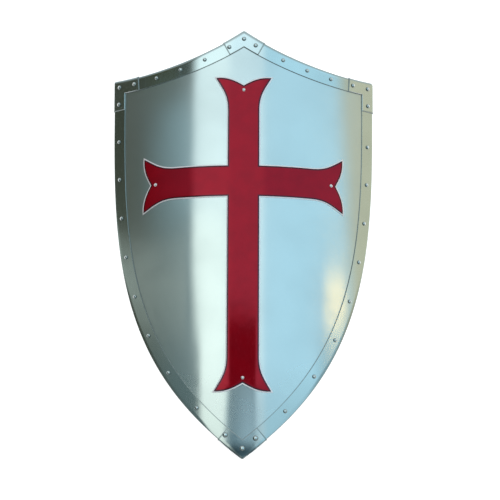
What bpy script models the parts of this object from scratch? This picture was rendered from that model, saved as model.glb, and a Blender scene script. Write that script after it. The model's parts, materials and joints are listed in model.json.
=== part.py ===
"""A knight's heater shield of sheet steel: a rolled plate with a folded and riveted border, corner
brackets and a red cross. It lies face up, as a loose shield does, on the rims of its two sides.

Every sheet is laid out flat first, in the plate's own plane: u runs across from the centre line,
v up from the tip, and w out of the face, from the plate's face. Then it is rolled about the v axis.
"""

import math

import bmesh
import bpy
from mathutils import Vector
from mathutils.geometry import interpolate_bezier

# Outline, flat
HEIGHT = 0.762  # tip to peak
PEAK_RISE = 0.0706  # the peak above the upper corners
HALF_WIDTH = 0.2512  # centre line to an upper corner
TOP_EDGE_RADIUS = 0.393  # the hollow arcs between a corner and the peak
SIDE_LEAN = math.radians(1.13)  # how far a side runs in from upright, below its corner
TIP_RISE = math.radians(36.4)  # how steeply a side leaves the tip
SIDE_FULLNESS = 0.311  # the side curve's handles, as shares of its chord
TIP_FULLNESS = 0.446
SIDE_STEPS = 13
TOP_STEPS = 6

# Rolling
ROLL_RADIUS = 0.385
ROLL_STRIP = 0.0264  # width of one flat between two bends

# Sheets
PLATE_THICKNESS = 0.0012
BORDER_THICKNESS = 0.0010
BRACKET_THICKNESS = 0.0010
CROSS_THICKNESS = 0.0008
GAP = 0.0003  # between two sheets that lie on each other

# Border strips, folded round the plate's edge
BORDER_WIDTH = 0.0254
RETURN_CLEARANCE = 0.0012  # between the lip behind the plate and the rivets' tails
FOLD_STEPS = 3
MITRE_GAP = 0.0003  # each strip stops this far short of the corner

# The pad on the middle of the back, where a strap's plate or a stand is fixed
PAD_RISE = 0.4000  # its middle above the tip
PAD_LENGTH = 0.1200
PAD_STAND = 0.00005  # proud of the back

# Corner brackets, folded over the strips
PEAK_LEG = 0.0440
CORNER_TOP_LEG = 0.0545
CORNER_SIDE_LEG = 0.0575
TIP_LEG = 0.0530
BRACKET_SETBACK = 0.0004  # its inner edge, short of the strip's

# Cross
CROSS_DROP = 0.2064  # the middle of its arms below the upper corners
CROSS_TOP_DROP = 0.0882  # the top arm's points below the peak
CROSS_SIDE_MARGIN = 0.0700  # the side arms' points short of the upper corners
CROSS_FOOT_RISE = 0.1148  # the foot's points above the tip
CROSS_ARM_WIDTH = 0.0540
CROSS_END_WIDTH = 0.0962
CROSS_FLARE = 0.0600  # length of a flared end
CROSS_NOTCH = 0.0148
FLARE_START = 0.52  # share of the flare that is left where the curve leaves the arm's line
FLARE_HANDLE = (0.76, 0.34)  # shares of the end's half width, and of the flare's length
LOBE_HANDLE = (0.55, 0.10)  # shares of the end's half width, and of the notch past the points
NOTCH_HANDLE = (0.24, 0.55)  # shares of the end's half width, and of the notch's depth
FLARE_STEPS = 5
LOBE_STEPS = 4

# Rivets
SHANK_RADIUS = 0.0020
HOLE_CLEARANCE = 0.0003
TAIL_RADIUS = 0.0031
TAIL_HEIGHT = 0.0011
TAIL_GAP = 0.0005
RIVET_SIDES = 8
DRILL_LENGTH = 0.0240  # passes through every sheet
STRIP_HEAD_RADIUS = 0.0035
STRIP_HEAD_HEIGHT = 0.0021
BRACKET_HEAD_RADIUS = 0.0038
BRACKET_HEAD_HEIGHT = 0.0022
TIP_HEAD_RADIUS = 0.0046
TIP_HEAD_HEIGHT = 0.0025
CROSS_HEAD_RADIUS = 0.0030
CROSS_HEAD_HEIGHT = 0.0017
CORNER_RIVET_SHIFT = 0.0007  # a corner's own rivet sits this much further in than the others
TOP_RIVETS = 3
TOP_RIVET_START = 0.0888  # from the corner to the first, along the edge
TOP_RIVET_END = 0.0860  # from the last to the peak
SIDE_RIVETS = 8
SIDE_RIVET_START = 0.1203  # from the corner to the first
SIDE_RIVET_END = 0.1130  # from the last to the tip
SIDE_PITCH_GROWTH = 0.0018  # each gap is this much longer than the one above it
SIDE_RIVET_SHIFT = 0.0035  # the right side's rivets sit lower than the left's
PEAK_LEFT_RIVET_END = 0.0056  # from a bracket's end to the rivet in its leg
PEAK_RIGHT_RIVET_END = 0.0120
CORNER_TOP_RIVET_END = 0.0095
CORNER_SIDE_RIVET_END = 0.0115
TIP_LEFT_RIVET_END = 0.0054
TIP_RIGHT_RIVET_END = 0.0140
CROSS_RIVET_END = 0.0225  # from the line between an arm's two points

# Levels and lines that follow from these
CORNER_LEVEL = HEIGHT - PEAK_RISE
CROSS_LEVEL = CORNER_LEVEL - CROSS_DROP
CROSS_TOP_REACH = HEIGHT - CROSS_TOP_DROP - CROSS_LEVEL
CROSS_SIDE_REACH = HALF_WIDTH - CROSS_SIDE_MARGIN
CROSS_FOOT_REACH = CROSS_LEVEL - CROSS_FOOT_RISE
RIVET_LINE = BORDER_WIDTH / 2  # from the outer edge to the middle of a rivet
RETURN_WIDTH = RIVET_LINE - TAIL_RADIUS - RETURN_CLEARANCE  # the lip behind the plate

# The fold's bend radii, and its middle: inward from the outer edge and below the plate's face
STRIP_INNER = PLATE_THICKNESS / 2 + GAP
STRIP_OUTER = STRIP_INNER + BORDER_THICKNESS
BRACKET_INNER = STRIP_OUTER + GAP
BRACKET_OUTER = BRACKET_INNER + BRACKET_THICKNESS
FOLD_INSET = STRIP_OUTER
FOLD_LEVEL = -PLATE_THICKNESS / 2

SHARP_ANGLE = math.radians(30)  # an edge that turns more than this looks sharp

# Colour, roughness and metallic value
STEEL = ((0.58, 0.62, 0.63), 0.22, 1.0)
BORDER_STEEL = ((0.55, 0.58, 0.58), 0.26, 1.0)
BRACKET_STEEL = ((0.60, 0.63, 0.63), 0.28, 1.0)
RIVET_STEEL = ((0.66, 0.68, 0.68), 0.22, 1.0)
RED_ENAMEL = ((0.30, 0.008, 0.02), 0.15, 0.0)


def material(name, look):
    """A Principled material with one colour, roughness and metallic value."""
    colour, roughness, metallic = look
    made = bpy.data.materials.new(name)
    made.use_nodes = True
    shader = made.node_tree.nodes["Principled BSDF"]
    shader.inputs["Base Color"].default_value = (*colour, 1.0)
    shader.inputs["Roughness"].default_value = roughness
    shader.inputs["Metallic"].default_value = metallic
    return made


def bezier(start, start_handle, end_handle, end, steps):
    """Points along one cubic curve, its two ends included."""
    ends = [Vector((*point, 0)) for point in (start, start_handle, end_handle, end)]
    return [point.to_2d() for point in interpolate_bezier(*ends, steps + 1)]


def side_curve():
    """The right side, from its corner down to the tip."""
    corner = Vector((HALF_WIDTH, CORNER_LEVEL))
    tip = Vector((0, 0))
    chord = (corner - tip).length
    down = corner - SIDE_FULLNESS * chord * Vector((math.sin(SIDE_LEAN), math.cos(SIDE_LEAN)))
    rise = TIP_FULLNESS * chord * Vector((math.cos(TIP_RISE), math.sin(TIP_RISE)))
    return bezier(corner, down, rise, tip, SIDE_STEPS)


def top_curve():
    """The right half of the top, a hollow arc from the peak to the corner."""
    peak = Vector((0, HEIGHT))
    corner = Vector((HALF_WIDTH, CORNER_LEVEL))
    chord = corner - peak
    upward = Vector((-chord.y, chord.x)).normalized()
    reach = math.sqrt(TOP_EDGE_RADIUS**2 - (chord.length / 2) ** 2)
    centre = (peak + corner) / 2 + upward * reach
    start = math.atan2(peak.y - centre.y, peak.x - centre.x)
    turn = 2 * math.asin(chord.length / 2 / TOP_EDGE_RADIUS)
    points = []
    for step in range(TOP_STEPS + 1):
        angle = start + turn * step / TOP_STEPS
        points.append(centre + TOP_EDGE_RADIUS * Vector((math.cos(angle), math.sin(angle))))
    return points


def mirrored(points):
    """The same points left of the centre line, in the opposite order."""
    return [Vector((-point.x, point.y)) for point in reversed(points)]


class Edge:
    """The shield's outer edge, clockwise from the peak, with the inward mitre at each point."""

    def __init__(self):
        right = top_curve()[:-1] + side_curve()
        self.points = right + mirrored(right)[1:-1]
        self.peak = 0
        self.right_corner = TOP_STEPS
        self.tip = TOP_STEPS + SIDE_STEPS
        self.left_corner = self.tip + SIDE_STEPS
        count = len(self.points)
        self.mitres = []
        for index, point in enumerate(self.points):
            before = (point - self.points[index - 1]).normalized()
            after = (self.points[(index + 1) % count] - point).normalized()
            inward = Vector((before.y + after.y, -before.x - after.x))
            self.mitres.append(2 * inward / inward.length_squared)

    def station(self, index):
        return self.points[index % len(self.points)], self.mitres[index % len(self.points)]

    def run(self, first, last):
        """Stations from one corner to the next, clockwise."""
        return [self.station(index) for index in range(first, last + 1)]

    def inset(self, distance):
        """The closed outline this far inside the edge."""
        return [point + distance * mitre for point, mitre in zip(self.points, self.mitres)]


def length_of(stations):
    """How long a run is, along the edge."""
    points = [point for point, _ in stations]
    return sum((b - a).length for a, b in zip(points, points[1:]))


def shortened(stations, start, end):
    """The run without its first and last stretch. A cut end is square to the edge."""
    points = [point for point, _ in stations]
    lengths = [(b - a).length for a, b in zip(points, points[1:])]
    total = sum(lengths)
    kept = []
    along = 0.0
    for index, length in enumerate(lengths):
        direction = (points[index + 1] - points[index]) / length
        square = Vector((direction.y, -direction.x))
        if start > 0 and along <= start < along + length:
            kept.append((points[index] + (start - along) * direction, square))
        if start == 0 or along > start:
            if along < total - end:
                kept.append(stations[index])
        if end > 0 and along < total - end <= along + length:
            kept.append((points[index] + (total - end - along) * direction, square))
        along += length
    if end == 0:
        kept.append(stations[-1])
    return kept


def eased(stations):
    """A mitred run that stops short of its two corners by the mitre gap."""
    first, last = stations[0], stations[-1]
    ahead = (stations[1][0] - first[0]).normalized()
    astern = (stations[-2][0] - last[0]).normalized()
    start = (first[0] + MITRE_GAP * ahead, first[1])
    end = (last[0] + MITRE_GAP * astern, last[1])
    return [start] + stations[1:-1] + [end]


def at_distance(stations, distance, inset):
    """The flat point this far along a run and this far in from the edge."""
    point, square = shortened(stations, distance, 0)[0]
    return point + inset * square


def on_mitre(index):
    """The place of a corner's own rivet, on its mitre line."""
    point, mitre = edge.station(index)
    return point + (RIVET_LINE + CORNER_RIVET_SHIFT) * mitre


def on_left(point):
    """The matching place on the left."""
    return Vector((-point.x, point.y))


def spaced(length, start, end, count, growth):
    """Distances along a run of this length, with every gap longer than the last by the growth."""
    gaps = count - 1
    first = (length - start - end - growth * gaps * (gaps - 1) / 2) / gaps
    return [start + first * place + growth * place * (place - 1) / 2 for place in range(count)]


def fold_section(inner, outer, flange):
    """The closed section of a sheet folded round an edge, as (inset, level) pairs."""

    def arc(radius):
        bends = []
        for step in range(FOLD_STEPS + 1):
            angle = math.pi / 2 + math.pi * step / FOLD_STEPS
            bends.append((FOLD_INSET + radius * math.cos(angle), FOLD_LEVEL + radius * math.sin(angle)))
        return bends

    outside = [(flange, FOLD_LEVEL + outer)] + arc(outer) + [(RETURN_WIDTH, FOLD_LEVEL - outer)]
    inside = [(flange, FOLD_LEVEL + inner)] + arc(inner) + [(RETURN_WIDTH, FOLD_LEVEL - inner)]
    return outside + inside[::-1]


def rolled(u, v, w):
    """Where the roller takes a flat point. The plate bends in narrow flats of equal width."""
    turn = ROLL_STRIP / ROLL_RADIUS
    apothem = ROLL_STRIP / 2 / math.tan(turn / 2)
    flat = round(u / ROLL_STRIP)
    across = (u - flat * ROLL_STRIP) * (apothem + w) / apothem
    angle = flat * turn
    x = (apothem + w) * math.sin(angle) + across * math.cos(angle)
    z = (apothem + w) * math.cos(angle) - across * math.sin(angle) - apothem
    return Vector((x, v, z))


def roll_angle(u):
    """How far the flat at u leans from the crown."""
    return round(u / ROLL_STRIP) * ROLL_STRIP / ROLL_RADIUS


def roll(mesh):
    """Bends a flat solid: it is scored along the roller's lines, and then each point is moved."""
    shape = bmesh.new()
    shape.from_mesh(mesh)
    widest = max(abs(vertex.co.x) for vertex in shape.verts)
    lines = math.ceil(widest / ROLL_STRIP)
    for line in range(-lines, lines):
        place = (line + 0.5) * ROLL_STRIP
        everything = shape.verts[:] + shape.edges[:] + shape.faces[:]
        bmesh.ops.bisect_plane(
            shape, geom=everything, dist=1e-6, plane_co=(place, 0, 0), plane_no=(1, 0, 0)
        )
    for vertex in shape.verts:
        vertex.co = rolled(*vertex.co)
    shape.to_mesh(mesh)
    shape.free()


def as_mesh(maker):
    """An object's evaluated shape as a plain mesh. The object is removed."""
    bpy.context.view_layer.update()
    graph = bpy.context.evaluated_depsgraph_get()
    mesh = bpy.data.meshes.new_from_object(maker.evaluated_get(graph))
    bpy.data.objects.remove(maker)
    return mesh


def flat_sheet(name, outline, thickness, level):
    """A sheet cut to a closed outline, with its back at this level."""
    curve = bpy.data.curves.new(name, "CURVE")
    curve.dimensions = "2D"
    curve.fill_mode = "BOTH"
    curve.extrude = thickness / 2
    spline = curve.splines.new("POLY")
    spline.points.add(len(outline) - 1)
    for point, (u, v) in zip(spline.points, outline):
        point.co = (u, v, 0, 1)
    spline.use_cyclic_u = True
    maker = bpy.data.objects.new(name, curve)
    parts.objects.link(maker)
    mesh = as_mesh(maker)
    shape = bmesh.new()
    shape.from_mesh(mesh)
    bmesh.ops.remove_doubles(shape, verts=shape.verts, dist=1e-6)
    bmesh.ops.translate(shape, verts=shape.verts, vec=(0, 0, level + thickness / 2))
    shape.to_mesh(mesh)
    shape.free()
    return mesh


def folded_sheet(name, stations, section):
    """A sheet folded along a run of the edge. Mitres make each section unlike the last, so it is
    lofted, section by section."""
    shape = bmesh.new()
    rings = []
    for point, mitre in stations:
        places = [point + inset * mitre for inset, _ in section]
        levels = [level for _, level in section]
        rings.append([shape.verts.new((*place, level)) for place, level in zip(places, levels)])
    for ring, following in zip(rings, rings[1:]):
        for index in range(len(section)):
            shape.faces.new((ring[index - 1], ring[index], following[index], following[index - 1]))
    shape.faces.new(rings[0])
    shape.faces.new(rings[-1][::-1])
    bmesh.ops.recalc_face_normals(shape, faces=shape.faces)
    mesh = bpy.data.meshes.new(name)
    shape.to_mesh(mesh)
    shape.free()
    return mesh


def hole_cutter(places):
    """Upright pins that drill every rivet hole while the sheets are flat."""
    shape = bmesh.new()
    for place in places:
        pin = bmesh.ops.create_cone(
            shape,
            cap_ends=True,
            segments=RIVET_SIDES,
            radius1=SHANK_RADIUS + HOLE_CLEARANCE,
            radius2=SHANK_RADIUS + HOLE_CLEARANCE,
            depth=DRILL_LENGTH,
        )
        bmesh.ops.translate(shape, verts=pin["verts"], vec=(*place, 0))
    mesh = bpy.data.meshes.new("rivet_holes")
    shape.to_mesh(mesh)
    shape.free()
    cutter = bpy.data.objects.new("rivet_holes", mesh)
    cutter.hide_render = True
    cutter.display_type = "WIRE"
    cutters.objects.link(cutter)
    return cutter


def piece(name, mesh, cutter, look):
    """A sheet becomes a part: drilled flat, rolled, and hung on the shield's own frame."""
    maker = bpy.data.objects.new(name, mesh)
    parts.objects.link(maker)
    drill = maker.modifiers.new("Rivet holes", "BOOLEAN")
    drill.operation = "DIFFERENCE"
    drill.solver = "EXACT"
    drill.object = cutter
    drilled = as_mesh(maker)
    roll(drilled)
    drilled.shade_smooth()
    drilled.set_sharp_from_angle(angle=SHARP_ANGLE)
    drilled.materials.clear()
    drilled.materials.append(look)
    made = bpy.data.objects.new(name, drilled)
    made.parent = shield
    parts.objects.link(made)
    return made


def set_out_pad(mesh):
    """Makes the pad one flat face of the back's middle flat, a hair proud of it, so that what is
    fixed there seats on the pad alone."""
    shape = bmesh.new()
    shape.from_mesh(mesh)

    def middle_flat():
        backs = [face for face in shape.faces if abs(face.calc_center_median().x) < ROLL_STRIP / 2]
        return [face for face in backs if face.normal.angle(Vector((0, 0, -1))) < SHARP_ANGLE / 10]

    low = PAD_RISE - PAD_LENGTH / 2
    high = PAD_RISE + PAD_LENGTH / 2
    for end in (low, high):
        flat = middle_flat()
        edges = {edge for face in flat for edge in face.edges}
        points = {point for face in flat for point in face.verts}
        bmesh.ops.bisect_plane(
            shape, geom=[*flat, *edges, *points], dist=1e-6, plane_co=(0, end, 0), plane_no=(0, 1, 0)
        )
    pad = [face for face in middle_flat() if low < face.calc_center_median().y < high]
    points = list({point for face in pad for point in face.verts})
    bmesh.ops.translate(shape, verts=points, vec=(0, 0, -PAD_STAND))
    bmesh.ops.dissolve_faces(shape, faces=pad)
    shape.to_mesh(mesh)
    shape.free()


def cross_outline():
    """Four straight arms with flared, fish-tailed ends, clockwise from the top arm."""
    arm = CROSS_ARM_WIDTH / 2
    end = CROSS_END_WIDTH / 2
    outline = []
    reaches = (CROSS_TOP_REACH, CROSS_SIDE_REACH, CROSS_FOOT_REACH, CROSS_SIDE_REACH)
    for quarter, reach in enumerate(reaches):
        # In the arm's own frame, (across, along) from the cross's middle
        flare = bezier(
            (-arm, reach - CROSS_FLARE),
            (-arm, reach - FLARE_START * CROSS_FLARE),
            (-FLARE_HANDLE[0] * end, reach - FLARE_HANDLE[1] * CROSS_FLARE),
            (-end, reach),
            FLARE_STEPS,
        )
        lobe = bezier(
            (-end, reach),
            (-LOBE_HANDLE[0] * end, reach + LOBE_HANDLE[1] * CROSS_NOTCH),
            (-NOTCH_HANDLE[0] * end, reach - NOTCH_HANDLE[1] * CROSS_NOTCH),
            (0, reach - CROSS_NOTCH),
            LOBE_STEPS,
        )
        half = flare[:-1] + lobe
        whole = half + mirrored(half)[1:]
        inner_corner = Vector((arm, arm))
        for point in whole + [inner_corner]:
            turned = Vector((point.x, point.y))
            for _ in range(quarter):
                turned = Vector((turned.y, -turned.x))
            outline.append(turned + Vector((0, CROSS_LEVEL)))
    return outline


def rivet_mesh(name, radius, height, grip):
    """A rivet turned from its profile, from the top of its dome down to the end of its tail. The
    face that it sits on is at zero, and the grip is all that its shank passes through."""
    slope = math.sqrt(0.5)
    tail = -grip - TAIL_GAP
    profile = [
        (0, GAP + height),
        (radius * slope, GAP + height * slope),
        (radius, GAP),
        (SHANK_RADIUS, GAP),
        (SHANK_RADIUS, tail),
        (TAIL_RADIUS, tail),
        (0, tail - TAIL_HEIGHT),
    ]
    mesh = bpy.data.meshes.new(name)
    points = [(x, 0, z) for x, z in profile]
    mesh.from_pydata(points, [(i, i + 1) for i in range(len(points) - 1)], [])
    maker = bpy.data.objects.new(name, mesh)
    parts.objects.link(maker)
    turned = maker.modifiers.new("Turned", "SCREW")
    turned.steps = RIVET_SIDES
    turned.render_steps = RIVET_SIDES
    turned.use_merge_vertices = True
    turned.merge_threshold = 0.00001
    made = as_mesh(maker)
    made.shade_smooth()
    made.set_sharp_from_angle(angle=SHARP_ANGLE)
    return made


def rivet(name, mesh, place, level):
    """One rivet, seated on the sheet whose face is at this level."""
    made = bpy.data.objects.new(name, mesh)
    made.location = rolled(place.x, place.y, level)
    made.rotation_euler = (0, roll_angle(place.x), 0)
    made.parent = shield
    parts.objects.link(made)
    return made


def shape_of(made):
    """An object's corners and triangles in the shield's own frame."""
    graph = bpy.context.evaluated_depsgraph_get()
    evaluated = made.evaluated_get(graph)
    mesh = evaluated.to_mesh()
    mesh.calc_loop_triangles()
    corners = [evaluated.matrix_world @ vertex.co for vertex in mesh.vertices]
    triangles = [tuple(triangle.vertices) for triangle in mesh.loop_triangles]
    evaluated.to_mesh_clear()
    return corners, triangles


def centre_of_mass(shapes):
    """The middle of all the metal, which has one density."""
    moment = Vector((0, 0, 0))
    volume = 0.0
    for corners, triangles in shapes:
        for a, b, c in triangles:
            wedge = corners[a].dot(corners[b].cross(corners[c])) / 6
            volume += wedge
            moment += wedge * (corners[a] + corners[b] + corners[c]) / 4
    return moment / volume


def resting_tilt(corners, centre):
    """The pitch at which the shield lies still. Seen from the side, its lowest outline is a chain
    of straight stretches, and it lies on the one that has the centre of mass above it."""
    side_view = sorted((corner.y, corner.z) for corner in corners)
    chain = []
    for point in map(Vector, side_view):
        while len(chain) > 1 and (chain[-1] - chain[-2]).cross(point - chain[-1]) <= 0:
            chain.pop()
        chain.append(point)
    middle = Vector((centre.y, centre.z))
    for start, end in zip(chain, chain[1:]):
        stretch = end - start
        if 0 <= (middle - start).dot(stretch) <= stretch.length_squared:
            return -math.atan2(stretch.y, stretch.x)
    return 0.0


for leftover in list(bpy.data.objects):
    bpy.data.objects.remove(leftover)
parts = bpy.data.collections.new("heater_shield")
cutters = bpy.data.collections.new("cutters")
bpy.context.scene.collection.children.link(parts)
bpy.context.scene.collection.children.link(cutters)
shield = bpy.data.objects.new("shield", None)
parts.objects.link(shield)

steel = material("rolled_steel", STEEL)
border_steel = material("border_steel", BORDER_STEEL)
bracket_steel = material("bracket_steel", BRACKET_STEEL)
rivet_steel = material("rivet_steel", RIVET_STEEL)
enamel = material("red_enamel", RED_ENAMEL)

# Runs of the edge, clockwise from the peak
edge = Edge()
top_right = edge.run(edge.peak, edge.right_corner)
side_right = edge.run(edge.right_corner, edge.tip)
side_left = edge.run(edge.tip, edge.left_corner)
top_left = edge.run(edge.left_corner, len(edge.points))
top_length = length_of(top_right)
side_length = length_of(side_right)

# Each rivet's name and its place on the flat sheet
strip_rivets = []
top_distances = spaced(top_length, TOP_RIVET_START, TOP_RIVET_END, TOP_RIVETS, 0)
for number, from_corner in enumerate(top_distances, start=1):
    place = at_distance(top_right, top_length - from_corner, RIVET_LINE)
    strip_rivets.append((f"rivet_top_right_{number}", place))
    strip_rivets.append((f"rivet_top_left_{number}", on_left(place)))
side_distances = spaced(side_length, SIDE_RIVET_START, SIDE_RIVET_END, SIDE_RIVETS, SIDE_PITCH_GROWTH)
for number, from_corner in enumerate(side_distances, start=1):
    lower = at_distance(side_right, from_corner + SIDE_RIVET_SHIFT, RIVET_LINE)
    upper = at_distance(side_right, from_corner - SIDE_RIVET_SHIFT, RIVET_LINE)
    strip_rivets.append((f"rivet_side_right_{number}", lower))
    strip_rivets.append((f"rivet_side_left_{number}", on_left(upper)))
peak_left_rivet = on_left(at_distance(top_right, PEAK_LEG - PEAK_LEFT_RIVET_END, RIVET_LINE))
peak_right_rivet = at_distance(top_right, PEAK_LEG - PEAK_RIGHT_RIVET_END, RIVET_LINE)
corner_top_rivet = at_distance(top_right, top_length - CORNER_TOP_LEG + CORNER_TOP_RIVET_END, RIVET_LINE)
corner_side_rivet = at_distance(side_right, CORNER_SIDE_LEG - CORNER_SIDE_RIVET_END, RIVET_LINE)
tip_leg_start = side_length - TIP_LEG
tip_left_rivet = on_left(at_distance(side_right, tip_leg_start + TIP_LEFT_RIVET_END, RIVET_LINE))
tip_right_rivet = at_distance(side_right, tip_leg_start + TIP_RIGHT_RIVET_END, RIVET_LINE)
bracket_rivets = [
    ("rivet_peak_left", peak_left_rivet),
    ("rivet_peak_middle", on_mitre(edge.peak)),
    ("rivet_peak_right", peak_right_rivet),
    ("rivet_right_corner_top", corner_top_rivet),
    ("rivet_right_corner_middle", on_mitre(edge.right_corner)),
    ("rivet_right_corner_side", corner_side_rivet),
    ("rivet_left_corner_top", on_left(corner_top_rivet)),
    ("rivet_left_corner_middle", on_mitre(edge.left_corner)),
    ("rivet_left_corner_side", on_left(corner_side_rivet)),
]
tip_rivets = [
    ("rivet_tip_left", tip_left_rivet),
    ("rivet_tip_middle", on_mitre(edge.tip)),
    ("rivet_tip_right", tip_right_rivet),
]
cross_rivets = [
    ("rivet_cross_top", Vector((0, CROSS_LEVEL + CROSS_TOP_REACH - CROSS_RIVET_END))),
    ("rivet_cross_right", Vector((CROSS_SIDE_REACH - CROSS_RIVET_END, CROSS_LEVEL))),
    ("rivet_cross_foot", Vector((0, CROSS_LEVEL - CROSS_FOOT_REACH + CROSS_RIVET_END))),
    ("rivet_cross_left", Vector((CROSS_RIVET_END - CROSS_SIDE_REACH, CROSS_LEVEL))),
]
groups = (strip_rivets, bracket_rivets, tip_rivets, cross_rivets)
holes = hole_cutter([place for group in groups for _, place in group])

# The plate, whose edge stops where the border's fold begins
plate = flat_sheet("shield_plate", edge.inset(FOLD_INSET), PLATE_THICKNESS, -PLATE_THICKNESS)
pieces = [piece("shield_plate", plate, holes, steel)]
set_out_pad(pieces[0].data)

# The four border strips
strip_section = fold_section(STRIP_INNER, STRIP_OUTER, BORDER_WIDTH)
strips = (
    ("border_top_right", top_right),
    ("border_side_right", side_right),
    ("border_side_left", side_left),
    ("border_top_left", top_left),
)
for name, run in strips:
    strip = folded_sheet(name, eased(run), strip_section)
    pieces.append(piece(name, strip, holes, border_steel))

# The four corner brackets, each a short length on either side of its corner
bracket_section = fold_section(BRACKET_INNER, BRACKET_OUTER, BORDER_WIDTH - BRACKET_SETBACK)
brackets = (
    ("bracket_peak", top_left, top_right, PEAK_LEG, PEAK_LEG),
    ("bracket_right_corner", top_right, side_right, CORNER_TOP_LEG, CORNER_SIDE_LEG),
    ("bracket_tip", side_right, side_left, TIP_LEG, TIP_LEG),
    ("bracket_left_corner", side_left, top_left, CORNER_SIDE_LEG, CORNER_TOP_LEG),
)
for name, before, after, leg_before, leg_after in brackets:
    run = shortened(before, length_of(before) - leg_before, 0)
    run += shortened(after, 0, length_of(after) - leg_after)[1:]
    bracket = folded_sheet(name, run, bracket_section)
    pieces.append(piece(name, bracket, holes, bracket_steel))

# The cross, laid on the plate
cross = flat_sheet("cross", cross_outline(), CROSS_THICKNESS, GAP)
pieces.append(piece("cross", cross, holes, enamel))

# The rivets
strip_face = GAP + BORDER_THICKNESS
bracket_face = strip_face + GAP + BRACKET_THICKNESS
cross_face = GAP + CROSS_THICKNESS
kinds = (
    ("strip_rivet", strip_rivets, STRIP_HEAD_RADIUS, STRIP_HEAD_HEIGHT, strip_face),
    ("bracket_rivet", bracket_rivets, BRACKET_HEAD_RADIUS, BRACKET_HEAD_HEIGHT, bracket_face),
    ("tip_rivet", tip_rivets, TIP_HEAD_RADIUS, TIP_HEAD_HEIGHT, bracket_face),
    ("cross_rivet", cross_rivets, CROSS_HEAD_RADIUS, CROSS_HEAD_HEIGHT, cross_face),
)
for kind, group, radius, height, face in kinds:
    turned_rivet = rivet_mesh(kind, radius, height, face + PLATE_THICKNESS)
    turned_rivet.materials.append(rivet_steel)
    for name, place in group:
        pieces.append(rivet(name, turned_rivet, place, face))

# The finished shield lies down: tipped as its weight tips it, with its lowest point on the floor
bpy.context.view_layer.update()
shapes = [shape_of(made) for made in pieces]
corners = [corner for shape, _ in shapes for corner in shape]
shield.rotation_euler.x = resting_tilt(corners, centre_of_mass(shapes))
turn = shield.rotation_euler.to_matrix()
turned = [turn @ corner for corner in corners]
low = Vector(min(corner[axis] for corner in turned) for axis in range(3))
high = Vector(max(corner[axis] for corner in turned) for axis in range(3))
shield.location = (-(low.x + high.x) / 2, -(low.y + high.y) / 2, -low.z)
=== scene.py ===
import json
import math

import bmesh
import bpy
from mathutils import Matrix, Vector
from mathutils.geometry import delaunay_2d_cdt, interpolate_bezier


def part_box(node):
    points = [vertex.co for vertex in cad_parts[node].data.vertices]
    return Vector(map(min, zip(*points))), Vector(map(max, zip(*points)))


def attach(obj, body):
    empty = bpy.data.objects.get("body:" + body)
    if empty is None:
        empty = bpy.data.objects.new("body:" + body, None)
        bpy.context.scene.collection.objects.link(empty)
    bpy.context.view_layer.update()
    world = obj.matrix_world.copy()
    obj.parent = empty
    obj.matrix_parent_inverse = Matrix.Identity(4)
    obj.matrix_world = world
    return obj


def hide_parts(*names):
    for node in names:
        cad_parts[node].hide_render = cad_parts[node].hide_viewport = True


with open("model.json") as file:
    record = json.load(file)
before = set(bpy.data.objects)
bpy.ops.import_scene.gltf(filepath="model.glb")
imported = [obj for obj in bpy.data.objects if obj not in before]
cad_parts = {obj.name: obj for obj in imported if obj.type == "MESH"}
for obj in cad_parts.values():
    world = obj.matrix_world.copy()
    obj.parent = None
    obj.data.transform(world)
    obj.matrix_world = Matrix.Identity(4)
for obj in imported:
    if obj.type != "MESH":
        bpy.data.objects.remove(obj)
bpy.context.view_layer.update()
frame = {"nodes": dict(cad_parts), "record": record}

# How the shield lies. The flat along the middle of its back gives the line of its crown, and all
# its pieces are laid out from there, flat: u across, v up from the tip, w out of the plate's face.
HEIGHT = 0.762
PLATE_THICKNESS = 0.0012
PAD_STAND = 0.00005  # how far the pad on the back's middle stands proud of it
back = frame["record"]["mounts"][0]
outward = -Vector(back["axis"])
upward = Vector((0, outward.z, -outward.y))
crown = Vector(back["pos_m"]) + (PLATE_THICKNESS + PAD_STAND) * outward
tip = crown - upward * (HEIGHT / 2 + crown.y / upward.y)
lying = Matrix((
    (1, 0, 0, tip.x),
    (0, upward.y, outward.y, tip.y),
    (0, upward.z, outward.z, tip.z),
    (0, 0, 0, 1),
))

# The camera looks down on the lying shield from above its tip, square to its width.
CAMERA_DISTANCE = 3.0
CAMERA_PLACE = (-0.0118, 0.0199)  # the shield's middle in the camera's view
CAMERA_TILT = math.radians(-13.63)
CAMERA_SWING = math.radians(0.49)
CAMERA_ROLL = math.radians(-0.20)
FOCAL_PIXELS = 1734.3
FRAME_PIXELS = 500
SENSOR_WIDTH = 36.0
camera = bpy.data.objects.new("camera", bpy.data.cameras.new("camera"))
bpy.context.scene.collection.objects.link(camera)
camera.data.sensor_width = SENSOR_WIDTH
camera.data.lens = SENSOR_WIDTH * FOCAL_PIXELS / FRAME_PIXELS
seen = Matrix.Rotation(CAMERA_ROLL, 4, "Z")
seen = seen @ Matrix.Rotation(CAMERA_TILT, 4, "X") @ Matrix.Rotation(CAMERA_SWING, 4, "Y")
seen = Matrix.Translation((*CAMERA_PLACE, -CAMERA_DISTANCE)) @ seen
camera.matrix_world = lying @ Matrix.Translation((0, HEIGHT / 2, 0)) @ seen.inverted()
bpy.context.scene.camera = camera
bpy.context.scene.view_settings.view_transform = "Standard"


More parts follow.
